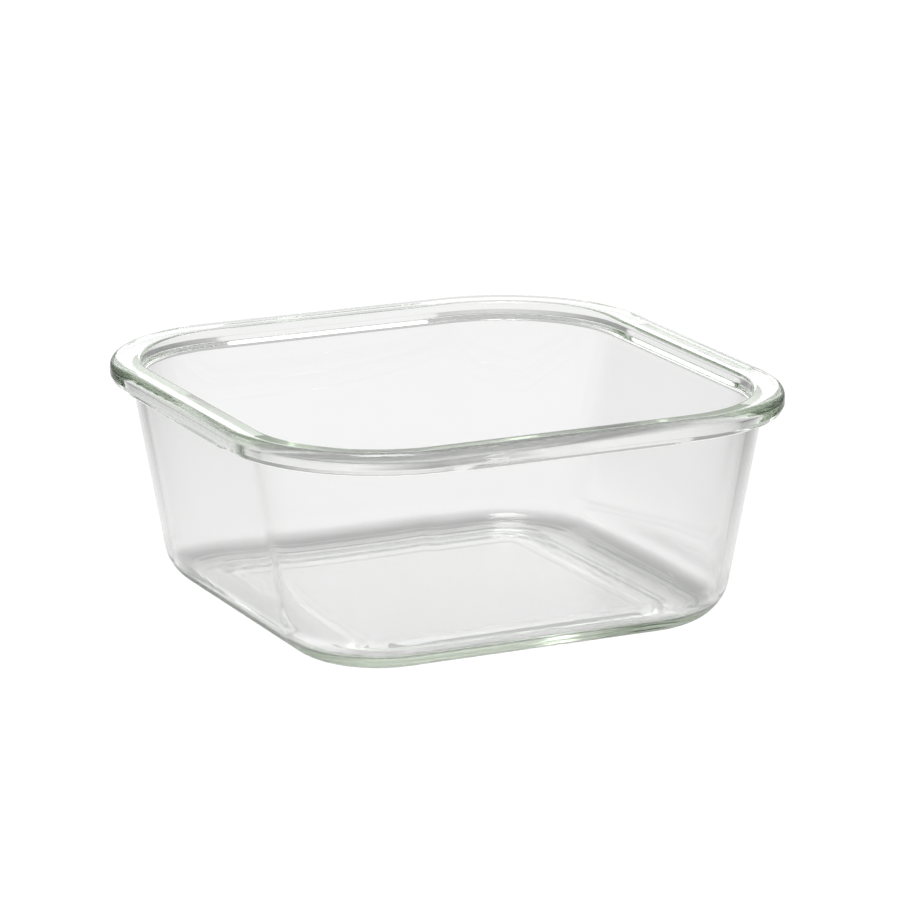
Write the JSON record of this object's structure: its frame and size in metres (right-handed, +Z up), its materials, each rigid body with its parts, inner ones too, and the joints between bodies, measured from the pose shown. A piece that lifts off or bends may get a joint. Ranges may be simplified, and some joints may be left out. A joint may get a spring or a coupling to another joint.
{
  "type": "glass storage dish",
  "caption": "Square clear glass food storage dish with rounded corners, a rolled rim bead and lid ledges under the bead, open at the top.",
  "frame": {"origin": "on the plane that the foot ring rests on, under the middle of the dish", "axes": "+Z up out of the open mouth, +X and +Y square to the walls"},
  "size_m": [0.149, 0.149, 0.0605],
  "materials": {
    "clear_glass": "fire-polished and clear, with a faint green in the thick rim and foot"
  },
  "bodies": {
    "root": {"glass_dish": "clear_glass"}
  },
  "joints": []
}
